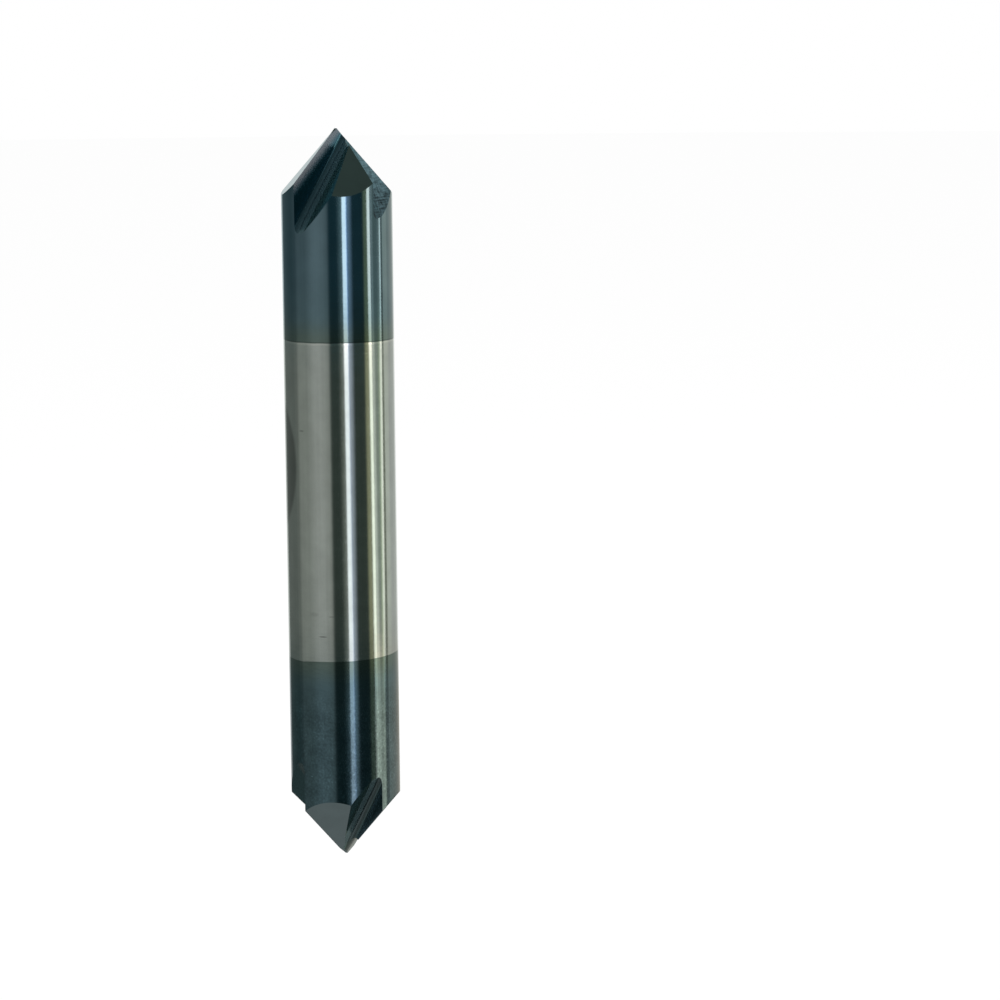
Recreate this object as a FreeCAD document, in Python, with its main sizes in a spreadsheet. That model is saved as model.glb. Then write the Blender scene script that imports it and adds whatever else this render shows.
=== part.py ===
"""Chamfer mill: a solid carbide rod with a four-flute 90 degree point ground on each end.

The origin is the middle of the rod and +Z runs along its axis. Each point has two long
cutting edges, which meet across the thin web at the centre, and two short ones, which the
long flutes cut back before they reach it. The edges of a point lie 90 degrees apart, the
long ones at +X and -X, and the mill cuts when it turns right-handed. The lower point is
the upper one turned half round about a line across the rod. The line lies a little off X,
so the edges of the lower point stand a few degrees round from those of the upper one.
A flute's rake face turns through a radius into a flat land, and past the land its floor
rises at a shallow bevel.
"""
import FreeCAD, Part
import math
import os

import Sketcher

NODE = "chamfer_mill"

# Driving dimensions: alias, value, meaning. Lengths in millimetres, angles in degrees.
DIMENSIONS = (
    ("shank_diameter", 9.525, "diameter of the ground rod"),
    ("overall_length", 63.5, "from the flat of one point to the flat of the other"),
    ("point_angle", 90.0, "included angle of the cutting edges"),
    ("point_flat", 0.2, "width of the blunt end left on each point"),
    ("relief_angle", 25.0, "fall of a flank behind its cutting edge, square to that edge"),
    ("web_thickness", 0.3, "carbide left between two opposite rake faces"),
    ("corner_radius", 0.45, "corner between a rake face and the land below it"),
    ("long_flute_angle", 34.5, "slope of a long flute from the axis"),
    ("long_flute_depth", 1.97, "where a long flute's floor meets the axis, below the apex"),
    ("long_flute_land", 1.05, "width of a long flute's land, from the rake face"),
    ("long_flute_bevel", 16.0, "rise of a long flute's floor past its land"),
    ("short_flute_angle", 32.3, "slope of a short flute from the axis"),
    ("short_flute_depth", 0.2, "where a short flute's floor meets the axis, below the apex"),
    ("short_flute_land", 1.1, "width of a short flute's land, from the rake face"),
    ("short_flute_bevel", 12.0, "rise of a short flute's floor past its land"),
    ("point_clocking", 4.6, "turn of the lower point's edges from the upper point's"),
)

# A sketch that cuts reaches this many rod diameters past the rod, so that it clears it.
CLEARING_DIAMETERS = 2.0

ROD_SECTION = "RodSection"
SIDES_OF_POINT = 4
OPPOSITE_PAIR = 2
POINTS_OF_MILL = 2
SHORT_FLUTE_TURN = 90.0


def make_sheet(doc):
    """The spreadsheet that every feature takes its sizes from."""
    sheet = doc.addObject("Spreadsheet::Sheet", "Sizes")
    for row, (alias, value, meaning) in enumerate(DIMENSIONS, start=1):
        sheet.set(f"A{row}", meaning)
        sheet.set(f"B{row}", str(value))
        sheet.setAlias(f"B{row}", alias)
    doc.recompute()
    return sheet


def origin_feature(body, role):
    """A plane or axis of the body's own origin."""
    return next(part for part in body.Origin.OriginFeatures if part.Role == role)


def apex_height():
    """Where the flanks of the upper point would meet, as an expression."""
    return "(Sizes.overall_length + Sizes.point_flat / tan(Sizes.point_angle / 2)) / 2"


def new_sketch(body, name):
    """A sketch on the plane across the rod, through its middle."""
    sketch = body.newObject("Sketcher::SketchObject", name)
    sketch.AttachmentSupport = [(origin_feature(body, "XY_Plane"), "")]
    sketch.MapMode = "FlatFace"
    return sketch


def tilt_sketch(sketch, height, slope, turn=0.0):
    """Raise a sketch to a height on the axis and set it square to a line of that slope.

    The line falls outwards from the axis, towards +X or, with a turn, that far round from
    it. The sketch's x then points up and outwards, and its y points ahead of the edge.
    """
    sketch.setExpression(
        "AttachmentOffset",
        f"placement(vector(0; 0; {height}); rotation({turn} deg; -({slope}) * 1 deg; 0 deg))",
    )


def bind(sketch, constraint, name, expression):
    """Add a constraint, give it a name and bind it to the sheet."""
    index = sketch.addConstraint(constraint)
    sketch.renameConstraint(index, name)
    sketch.setExpression(f"Constraints.{name}", expression)


def join_ends(sketch, lines):
    """Close a chain of lines, each one's end on the next one's start."""
    start, end = 1, 2
    for line, following in zip(lines, lines[1:]):
        sketch.addConstraint(Sketcher.Constraint("Coincident", line, end, following, start))


def make_rod(body):
    """The ground rod, a round bar centred on the origin.

    Its section also holds the line across the rod that one point is turned over about.
    """
    sketch = new_sketch(body, ROD_SECTION)
    sheet = body.Document.Sizes
    radius = sheet.shank_diameter / 2
    half_turn = math.radians(sheet.point_clocking / 2)
    middle = FreeCAD.Vector(0, 0, 0)
    circle = Part.Circle(middle, FreeCAD.Vector(0, 0, 1), radius)
    edge = sketch.addGeometry(circle, False)
    line_end = FreeCAD.Vector(math.cos(half_turn), math.sin(half_turn), 0) * radius
    turning_line = sketch.addGeometry(Part.LineSegment(middle, line_end), True)
    centre, origin, level_axis = (edge, 3), (-1, 1), -1
    sketch.addConstraint(Sketcher.Constraint("Coincident", *centre, *origin))
    sketch.addConstraint(Sketcher.Constraint("Coincident", turning_line, 1, *origin))
    sketch.addConstraint(Sketcher.Constraint("PointOnObject", turning_line, 2, edge))
    bind(
        sketch,
        Sketcher.Constraint("Angle", level_axis, 1, turning_line, 1, half_turn),
        "turning_line",
        "Sizes.point_clocking / 2 * 1 deg",
    )
    bind(
        sketch,
        Sketcher.Constraint("Diameter", edge, sheet.shank_diameter),
        "rod",
        "Sizes.shank_diameter",
    )
    pad = body.newObject("PartDesign::Pad", "Rod")
    pad.Profile = sketch
    pad.SideType = "Symmetric"
    pad.setExpression("Length", "Sizes.overall_length")


def cut_through(body, name, sketch):
    """Cut the sketch right through the rod, both ways from its plane."""
    pocket = body.newObject("PartDesign::Pocket", name)
    pocket.Profile = sketch
    pocket.Type = "ThroughAll"
    pocket.SideType = "Symmetric"
    return pocket


def make_flank(body):
    """The flat relieved flank behind the cutting edge at +X of the upper point.

    Seen along the edge, it is a line through the edge that falls away behind it by the
    relief angle. All that stands above the line is cut off.
    """
    sheet = body.Document.Sizes
    sketch = new_sketch(body, "FlankSection")
    tilt_sketch(sketch, apex_height(), "Sizes.point_angle / 2")
    reach = CLEARING_DIAMETERS * sheet.shank_diameter
    fall = reach * math.tan(math.radians(sheet.relief_angle))
    behind, ahead = FreeCAD.Vector(-fall, -reach, 0), FreeCAD.Vector(fall, reach, 0)
    above_ahead, above_behind = FreeCAD.Vector(reach, reach, 0), FreeCAD.Vector(reach, -reach, 0)
    outline = (behind, ahead, above_ahead, above_behind, behind)
    flank, front, top, back = (
        sketch.addGeometry(Part.LineSegment(first, second), False)
        for first, second in zip(outline, outline[1:])
    )
    join_ends(sketch, (flank, front, top, back, flank))
    origin, up_axis = (-1, 1), -2
    sketch.addConstraint(Sketcher.Constraint("Horizontal", front))
    sketch.addConstraint(Sketcher.Constraint("Vertical", top))
    sketch.addConstraint(Sketcher.Constraint("Horizontal", back))
    sketch.addConstraint(Sketcher.Constraint("Symmetric", flank, 1, flank, 2, *origin))
    bind(
        sketch,
        Sketcher.Constraint("Angle", flank, up_axis, math.radians(sheet.relief_angle)),
        "relief",
        "Sizes.relief_angle * 1 deg",
    )
    clearing = f"Sizes.shank_diameter * {CLEARING_DIAMETERS}"
    bind(sketch, Sketcher.Constraint("DistanceY", *origin, front, 1, reach), "side", clearing)
    bind(sketch, Sketcher.Constraint("DistanceX", *origin, top, 1, reach), "over", clearing)
    return cut_through(body, "Flank", sketch)


def make_flute(body, kind, turn=0.0):
    """A long or a short flute: a straight notch that falls outwards ahead of its edge.

    Seen along its run, the rake face stands half the web ahead of the axis. A radius
    leads from it into a flat land, and past the land the floor rises at a bevel.
    """
    sheet = body.Document.Sizes
    name = f"{kind.capitalize()}Flute"
    sketch = new_sketch(body, f"{name}Section")
    height = f"{apex_height()} - Sizes.{kind}_flute_depth"
    tilt_sketch(sketch, height, f"Sizes.{kind}_flute_angle", turn)
    reach = CLEARING_DIAMETERS * sheet.shank_diameter
    corner_radius = sheet.corner_radius
    half_web = sheet.web_thickness / 2
    bevel_start = half_web + sheet.get(f"{kind}_flute_land")
    bevel_angle = math.radians(sheet.get(f"{kind}_flute_bevel"))

    corner = FreeCAD.Vector(0, half_web, 0)
    centre = corner + FreeCAD.Vector(corner_radius, corner_radius, 0)
    on_rake = FreeCAD.Vector(centre.x, corner.y, 0)
    on_land = FreeCAD.Vector(corner.x, centre.y, 0)
    middle = centre + (corner - centre) * math.sqrt(0.5)
    land_end = FreeCAD.Vector(0, bevel_start, 0)
    bevel_end = FreeCAD.Vector((reach - bevel_start) * math.tan(bevel_angle), reach, 0)
    far_top = FreeCAD.Vector(reach, reach, 0)
    rake_top = FreeCAD.Vector(reach, half_web, 0)

    radius = sketch.addGeometry(Part.Arc(on_rake, middle, on_land), False)
    land = sketch.addGeometry(Part.LineSegment(on_land, land_end), False)
    bevel = sketch.addGeometry(Part.LineSegment(land_end, bevel_end), False)
    side = sketch.addGeometry(Part.LineSegment(bevel_end, far_top), False)
    top = sketch.addGeometry(Part.LineSegment(far_top, rake_top), False)
    rake = sketch.addGeometry(Part.LineSegment(rake_top, on_rake), False)

    join_ends(sketch, (land, bevel, side, top, rake))
    land_side, rake_side = arc_ends(sketch, radius, on_land)
    sketch.addConstraint(Sketcher.Constraint("Tangent", radius, land_side, land, 1))
    sketch.addConstraint(Sketcher.Constraint("Tangent", radius, rake_side, rake, 2))
    origin, up_axis = (-1, 1), -2
    sketch.addConstraint(Sketcher.Constraint("Horizontal", rake))
    sketch.addConstraint(Sketcher.Constraint("PointOnObject", land, 1, up_axis))
    sketch.addConstraint(Sketcher.Constraint("PointOnObject", land, 2, up_axis))
    sketch.addConstraint(Sketcher.Constraint("Vertical", top))
    sketch.addConstraint(Sketcher.Constraint("Horizontal", side))
    bind(
        sketch,
        Sketcher.Constraint("DistanceY", *origin, rake, 1, half_web),
        "half_web",
        "Sizes.web_thickness / 2",
    )
    bind(
        sketch,
        Sketcher.Constraint("DistanceY", *origin, land, 2, bevel_start),
        "bevel_start",
        f"Sizes.web_thickness / 2 + Sizes.{kind}_flute_land",
    )
    bind(
        sketch,
        Sketcher.Constraint("Radius", radius, corner_radius),
        "corner",
        "Sizes.corner_radius",
    )
    bind(
        sketch,
        Sketcher.Constraint("Angle", bevel, 1, up_axis, 1, bevel_angle),
        "bevel",
        f"Sizes.{kind}_flute_bevel * 1 deg",
    )
    clearing = f"Sizes.shank_diameter * {CLEARING_DIAMETERS}"
    bind(sketch, Sketcher.Constraint("DistanceX", *origin, top, 1, reach), "over", clearing)
    bind(sketch, Sketcher.Constraint("DistanceY", *origin, side, 1, reach), "ahead", clearing)
    return cut_through(body, name, sketch)


def arc_ends(sketch, arc, wanted):
    """The arc's end at a point and its other end, as the sketcher numbers them."""
    start, end = 1, 2
    near = min((start, end), key=lambda which: sketch.getPoint(arc, which).distanceToPoint(wanted))
    return (near, start + end - near)


def turned(body, name, axis, count):
    """One step of a pattern: copies spread evenly round an axis."""
    step = body.newObject("PartDesign::PolarPattern", name)
    step.Axis = axis
    step.Angle = 360.0
    step.Occurrences = count
    return step


def repeat(body, feature, around_axis):
    """Repeat a cut round the rod's axis, and on the lower point as well."""
    rod_axis = (origin_feature(body, "Z_Axis"), [""])
    turning_line = (body.Document.getObject(ROD_SECTION), ["Axis0"])
    pattern = body.newObject("PartDesign::MultiTransform", f"{feature.Name}s")
    pattern.Originals = [feature]
    pattern.Transformations = [
        turned(body, f"{feature.Name}sRoundPoint", rod_axis, around_axis),
        turned(body, f"{feature.Name}sOnBothPoints", turning_line, POINTS_OF_MILL),
    ]
    body.Tip = pattern


def make_mill(doc):
    """The whole mill, one piece ground from the solid."""
    body = doc.addObject("PartDesign::Body", "ChamferMill")
    body.Label = NODE
    make_rod(body)
    doc.recompute()
    cuts = (
        (lambda: make_flank(body), SIDES_OF_POINT),
        (lambda: make_flute(body, "long"), OPPOSITE_PAIR),
        (lambda: make_flute(body, "short", SHORT_FLUTE_TURN), OPPOSITE_PAIR),
    )
    for make_cut, count in cuts:
        before = body.Shape.Volume
        repeat(body, make_cut(), count)
        doc.recompute()
        if not body.Shape.Volume < before:
            raise RuntimeError("a cut took nothing off the rod")
    return body


def check(doc, body):
    """Stop if any object failed or the finished solid isn't sound."""
    for item in doc.Objects:
        if "Invalid" in item.State or "Error" in item.State:
            raise RuntimeError(f"{item.Name} failed: {item.State}")
    shape = body.Shape
    if shape.isNull() or not shape.isValid() or len(shape.Solids) != 1:
        raise RuntimeError(f"{body.Label} isn't one sound solid")


def main():
    doc = FreeCAD.newDocument("ChamferMill")
    make_sheet(doc)
    body = make_mill(doc)
    check(doc, body)
    os.makedirs("parts", exist_ok=True)
    body.Shape.exportStep(f"parts/{body.Label}.step")
    box = body.Shape.optimalBoundingBox(True, False)
    print(f"{body.Label}: {body.Shape.Volume:.2f} mm3, {len(body.Shape.Faces)} faces")
    print(f"box {box.XLength:.3f} x {box.YLength:.3f} x {box.ZLength:.3f} mm")


main()
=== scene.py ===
"""Double-ended chamfer mill in solid carbide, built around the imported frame.

Laid out as an add-on and run as a script. The mill is one ground rod with a four-flute
90 degree point on each end. Its ends are coated and its middle is bare. The stage holds a
pale floor, soft lamps, a tent of strip lights and panels for the metal to mirror, and the
camera. Shapes are worked out in millimetres and brought to metres when they are finished.
"""
import math

import bmesh
import bpy
from bpy.props import FloatProperty, FloatVectorProperty, IntProperty, PointerProperty
from bpy.types import NodeSocket, Operator, Panel, PropertyGroup
from mathutils import Matrix, Vector


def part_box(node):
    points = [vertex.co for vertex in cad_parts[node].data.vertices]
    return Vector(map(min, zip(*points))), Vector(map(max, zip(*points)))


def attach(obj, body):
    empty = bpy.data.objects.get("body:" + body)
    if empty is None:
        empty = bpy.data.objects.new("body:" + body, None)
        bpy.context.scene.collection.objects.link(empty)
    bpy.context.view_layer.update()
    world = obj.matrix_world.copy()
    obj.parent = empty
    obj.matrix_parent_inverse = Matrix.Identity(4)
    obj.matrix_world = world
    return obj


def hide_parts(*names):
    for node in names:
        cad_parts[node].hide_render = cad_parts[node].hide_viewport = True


bl_info = {
    "name": "Chamfer Mill",
    "version": (1, 0, 0),
    "blender": (4, 5, 0),
    "location": "View3D > Sidebar > Chamfer Mill",
    "description": "Builds a double-ended carbide chamfer mill and a studio for it",
    "category": "Add Mesh",
}

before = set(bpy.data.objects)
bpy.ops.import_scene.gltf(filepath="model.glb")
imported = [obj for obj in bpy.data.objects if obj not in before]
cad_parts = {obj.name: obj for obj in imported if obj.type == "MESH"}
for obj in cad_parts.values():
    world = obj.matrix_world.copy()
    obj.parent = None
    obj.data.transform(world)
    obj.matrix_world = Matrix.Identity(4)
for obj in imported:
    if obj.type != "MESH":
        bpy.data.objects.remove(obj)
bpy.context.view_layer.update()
NODE = "chamfer_mill"
BODY = "root"
LOWEST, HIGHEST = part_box(NODE)

MM = 0.001
# How far a cutting shape reaches past the rod, in rod diameters.
CLEARING_DIAMETERS = 2.0
# Turns of the cuts round the rod: four flanks, two long flutes, two short flutes.
FLANK_TURNS = (0.0, 90.0, 180.0, 270.0)
LONG_TURNS = (0.0, 180.0)
SHORT_TURNS = (90.0, 270.0)
# Two faces that meet at more than this angle meet in a sharp edge.
SHARP_ANGLE = math.radians(10)
# Tolerances in millimetres: for a plane that cuts the rod, for a corner of a cutter's
# section, for points that are welded, and for a face to lie on the round side, on a flat cut
# surface or in a rounded corner.
PLANE_TOLERANCE, SECTION_TOLERANCE, WELD_DISTANCE = 1e-7, 1e-6, 1e-4
ROUND_TOLERANCE, FLAT_TOLERANCE, CORNER_TOLERANCE = 2e-3, 1e-3, 1e-2
# The least product of two directions that are the same, and the most of two that are square.
SAME_WAY, SQUARE = 0.9999, 1e-3
# Mesh attributes that the material reads.
GRAIN = "grain"
FINISH = "finish"
PAINTED_LIGHT = "coat_and_painted_light"
SCATTER = "scatter"
# How each part of a cut face looks: whether it is a rake face, how strongly it shows the wheel's
# marks, how much light its roughness scatters and the shares of red, green and blue of the
# coating's colour that it keeps. These shares are painted light and shade: a face that gets less
# light, such as a flute's corner or a rake face, is painted darker, and one that gets more is
# painted lighter.
SURFACES = {
    "upper flank": (0.0, 0.0, 0.0, (1.00, 0.97, 0.90)),
    "upper long rake": (1.0, 0.0, 0.0, (0.36, 0.72, 0.88)),
    "upper long corner": (0.0, 0.1, 0.4, (0.30, 0.53, 0.60)),
    "upper long land": (0.0, 0.1, 0.8, (1.12, 1.44, 1.44)),
    "upper long bevel": (0.0, 0.1, 0.3, (0.95, 1.55, 1.40)),
    "upper short rake": (1.0, 0.0, 0.0, (0.36, 0.72, 0.88)),
    "upper short corner": (0.0, 0.8, 0.8, (0.90, 1.00, 1.00)),
    "upper short land": (0.0, 0.9, 0.9, (0.75, 0.91, 0.89)),
    "upper short bevel": (0.0, 1.0, 1.0, (1.02, 1.14, 1.13)),
    "lower flank": (0.0, 0.0, 0.0, (1.00, 0.97, 0.90)),
    "lower long rake": (1.0, 0.0, 0.0, (0.25, 0.25, 0.26)),
    "lower long corner": (0.0, 0.1, 0.4, (0.60, 0.75, 0.72)),
    "lower long land": (0.0, 0.1, 0.4, (0.60, 0.75, 0.72)),
    "lower long bevel": (0.0, 0.1, 0.4, (0.50, 0.70, 0.68)),
    "lower short rake": (1.0, 0.0, 0.0, (1.00, 0.97, 1.05)),
    "lower short corner": (0.0, 0.1, 0.2, (1.00, 0.97, 0.90)),
    "lower short land": (0.0, 0.05, 0.6, (1.75, 1.80, 1.66)),
    "lower short bevel": (0.0, 0.05, 0.4, (0.40, 0.72, 0.60)),
}
ROUND_SIDE = (0.0, 0.0, 0.0, (1.0, 1.0, 1.0))
# The shares at the far side of a corner whose painted shade gives way to painted light between its
# rake and its land.
CORNER_LIGHT_ENDS = {"upper long corner": (1.15, 1.48, 1.55)}
# The wheels' lines: how many changes a millimetre has along and across them, and their detail.
GRINDING_LINES = {
    "fine": (0.5, 9.0, 3.0),
    "waves": (1.1, 3.0, 2.0),
    "streaks": (2.6, 0.05, 2.0),
    "marks": (1.4, 8.0, 1.0),
    "crossing": (6.5, 1.6, 1.0),
}
# The range that most of a noise lies in, and the scale of each noise that isn't stretched.
NOISE_RANGE = (0.3, 0.7)
WAVER_SCALE, SPECK_SCALE, CLOUD_SCALE = 260.0, 5200.0, 620.0
# Heights of the relief, in millimetres.
FINE_RELIEF, WAVE_RELIEF, HATCH_RELIEF, SPECK_RELIEF = 0.0006, 0.0020, 0.0012, 0.0014
# The coating's edge, in millimetres past where it ends: how far it wavers and fades, where
# the dark line behind it ends, where the pale rim before it lies and where the thin coating
# lies. The lower edge is slanted by its place in the rod, and its line is weaker.
EDGE_WAVER, EDGE_FADE, EDGE_LINE_END = 0.07, 0.04, 0.14
RIM_BAND, FRINGE_BAND = (-0.24, -0.10), (0.1, 2.4)
EDGE_SLANT = (0.036, -0.028, 0.0)
EDGE_LINE_STRENGTH, LOWER_LINE_SHARE, RIM_STRENGTH = 0.55, 0.3, 0.5
EDGE_LINE_COLOUR, RIM_COLOUR = (0.05, 0.06, 0.055), (0.60, 0.60, 0.56)
# The colour of the painted highlight along the lower point's cutting edges.
HIGHLIGHT_COLOUR = (0.18, 0.21, 0.22)
# Heights in millimetres between which one end's look gives way to the other's.
HALVES_BAND, DULL_BAND = 1.0, (-15.0, -19.0)
# Across a rake face, in millimetres from its floor: where painted light makes it lighter and where
# a painted highlight lies along its edge. A millimetre nearer to the tip counts as so much further
# from the floor, and the lower point is lighter over less of its rake.
EDGE_LIGHT_BAND, HIGHLIGHT_BAND, TIP_LEAD, DULL_END_LAG = (0.45, 1.25), (1.10, 1.28), 0.2, -0.35
# Along a flute, in millimetres: where it grows darker towards its far end, and how much darker it
# is there.
FAR_END_BAND, FAR_END_SHADE = (-3.6, -7.6), -0.55
# How far each kind of mark lightens and darkens the surface.
HATCH_SHADE, STREAK_SHADE, SPECK_SHADE, BLOTCH_SHADE = 0.34, 0.04, 0.20, 0.14
CLOUD_SHADES, BRIGHT_SPECKS, BRIGHT_SPECK_SHADE = (0.94, 1.06), (0.66, 0.76), 0.5
# How much light is scattered by a rough cut face and near the edge of a rake face.
ROUGH_SCATTER, EDGE_SCATTER = 0.12, 0.30
# Roughness of the bare and of the coated rod, and what flutes and the dull end add to it.
BARE_ROUGHNESS, COATED_ROUGHNESS = (0.09, 0.13), (0.07, 0.11)
FLUTE_ROUGHNESS, DULL_ROUGHNESS = 0.12, 0.03
# Marks on the round side, and one patch of painted shade: place, half width and half height in
# millimetres, how far from the middle each begins to fade, and the share of the light that it
# leaves.
WEAR_AND_PAINTED_SHADE = (
    ((-4.14, -2.35, -11.60), 0.48, 0.07, 0.4, 0.5),
    ((-4.47, -1.64, -9.69), 0.50, 0.26, 0.4, 0.88),
    ((-3.70, -3.00, -9.83), 0.34, 0.06, 0.4, 0.65),
    ((-4.72, -0.60, 6.14), 0.36, 0.08, 0.4, 0.65),
    ((-0.92, -4.67, 12.80), 0.34, 0.035, 0.4, 1.6),
    ((-0.70, -4.71, 12.50), 0.30, 0.030, 0.4, 1.4),
    ((-4.63, -1.11, -23.99), 0.09, 0.07, 0.4, 2.2),
    # Not a mark: a large patch of painted shade on the side of the bare rod.
    ((-3.72, 2.98, 3.00), 3.22, 5.8, 0.86, 0.55),
)

# The strip lights and panels round the mill. Azimuths, leans, widths and the softness of each
# strip's left and right edge are in degrees, seen from the mill, with the camera at 0 and its
# right positive. A strip stands further right at its bottom than at its top by its lean. Each
# has the colours of its top, middle and bottom.
ROOM = ((0.040, 0.094, 0.113), (0.053, 0.072, 0.062), (0.022, 0.042, 0.044))
STRIPS = (
    # name, centre, lean, width, (left and right softness), (top, middle, bottom)
    ("left panel", -59.7, 0.0, 79.6, (20.0, 8.0),
     ((0.24, 0.23, 0.22), (0.30, 0.31, 0.29), (0.165, 0.175, 0.165))),
    ("left panel, bright part", -44.5, 0.0, 35.0, (28.0, 28.0),
     ((0.23, 0.22, 0.22), (0.16, 0.16, 0.165), (0.10, 0.11, 0.12))),
    ("far left panel", -127.0, 0.0, 50.0, (8.0, 8.0),
     ((0.085, 0.085, 0.077), (0.12, 0.125, 0.12), (0.06, 0.075, 0.07))),
    ("key strip, left halo", 8.0, 2.5, 9.0, (12.0, 6.0),
     ((0.25, 0.30, 0.30), (0.19, 0.205, 0.18), (0.08, 0.11, 0.12))),
    ("key strip", 15.2, 2.5, 8.4, (2.0, 2.0),
     ((4.1, 3.8, 3.95), (1.70, 1.80, 1.88), (1.38, 1.36, 1.52))),
    ("key strip, blue edge", 19.6, 2.5, 3.4, (2.0, 3.0),
     ((0.20, 0.40, 0.90), (0.04, 0.05, 0.15), (0.10, 0.12, 0.30))),
    ("key strip, right halo", 23.3, 1.0, 8.6, (2.0, 10.0),
     ((0.45, 0.52, 0.70), (0.45, 0.51, 0.61), (0.34, 0.40, 0.44))),
    ("warm strip, left halo", 60.3, 2.0, 9.4, (6.0, 2.4),
     ((0.35, 0.33, 0.15), (0.34, 0.34, 0.20), (0.15, 0.15, 0.09))),
    ("warm strip", 69.0, 4.2, 6.6, (2.0, 2.0),
     ((3.8, 3.1, 2.7), (1.75, 1.87, 1.60), (1.25, 1.05, 0.80))),
    ("warm strip, right part", 75.0, 6.5, 9.0, (6.0, 6.0),
     ((0.50, 0.48, 0.46), (0.48, 0.50, 0.46), (0.58, 0.48, 0.37))),
    ("right panel", 84.5, -1.5, 23.0, (4.0, 4.0),
     ((0.30, 0.305, 0.265), (0.31, 0.36, 0.31), (1.10, 0.94, 0.71))),
    ("right panel, right part", 90.5, 0.0, 5.0, (3.0, 3.0),
     ((0.10, 0.10, 0.10), (0.08, 0.12, 0.02), (0.20, 0.16, 0.12))),
    ("thin strip, left part", 93.6, -1.5, 4.0, (2.0, 2.0),
     ((0.28, 0.25, 0.22), (0.76, 0.78, 0.68), (0.20, 0.18, 0.14))),
    ("thin strip", 97.1, -1.0, 3.8, (1.6, 1.6),
     ((2.60, 2.40, 2.20), (1.36, 1.40, 1.24), (0.22, 0.20, 0.16))),
    ("gap panel", 103.0, 2.0, 10.0, (3.0, 3.0),
     ((0.21, 0.20, 0.17), (0.19, 0.20, 0.16), (0.33, 0.30, 0.26))),
    ("far right panel", 139.0, 2.0, 65.0, (3.0, 3.0),
     ((0.61, 0.57, 0.50), (0.55, 0.56, 0.54), (0.51, 0.45, 0.38))),
    ("far right panel, near edge", 114.0, 2.0, 16.0, (8.0, 8.0),
     ((0.32, 0.28, 0.22), (0.13, 0.15, 0.11), (0.03, 0.03, 0.02))),
    ("far right panel, far edge", 166.0, 0.0, 20.0, (10.0, 10.0),
     ((0.30, 0.30, 0.30), (0.35, 0.35, 0.35), (0.05, 0.05, 0.05))),
    ("back panel", -165.0, 0.0, 24.0, (6.0, 6.0),
     ((0.72, 0.74, 0.73), (0.62, 0.64, 0.62), (0.50, 0.50, 0.50))),
    ("back strip", 181.0, 0.0, 7.0, (3.0, 3.0),
     ((2.9, 3.0, 3.1), (1.75, 1.80, 1.85), (1.45, 1.50, 1.55))),
)
# The parts of the tent above and below them, and the one panel that stands above them.
UPPER_ROOM, TOP_CAP = (0.13, 0.13, 0.125), (0.17, 0.19, 0.165)
LOWER_ROOM, BOTTOM_CAP = (0.17, 0.165, 0.155), (0.54, 0.49, 0.48)
UPPER_PANEL = ("upper right panel", 76.0, 0.0, 64.0, (10.0, 10.0), ((0.50, 0.53, 0.54),) * 3)
# Heights in the tent as shares of its radius: where a leaning strip starts and ends, where the
# middle gives way to the top and the bottom, and where each part above and below begins.
LEAN_BAND, TOP_BAND, BOTTOM_BAND = (0.06, -0.33), (-0.05, 0.03), (-0.225, -0.295)
UPPER_ROOM_BAND, TOP_CAP_BAND = (0.25, 0.40), (0.88, 0.93)
LOWER_ROOM_BAND, BOTTOM_CAP_BAND = (-0.62, -0.74), (-0.92, -0.96)
# The light of the world, the floor's radius in metres, its paint and its share of glow, and
# each lamp's name, place in metres and power in watts.
WORLD_LIGHT = 0.9
FLOOR_RADIUS, FLOOR_PAINT, FLOOR_GLOW = 6.0, 0.95, 0.88
LAMPS = (
    ("key_lamp", (-0.9, -1.1, 1.5), 24.0),
    ("fill_lamp", (1.4, -0.6, 1.1), 10.0),
)
LAMP_SIZE = 1.2
SENSOR_WIDTH, CLIP_START = 36.0, 0.01


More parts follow.
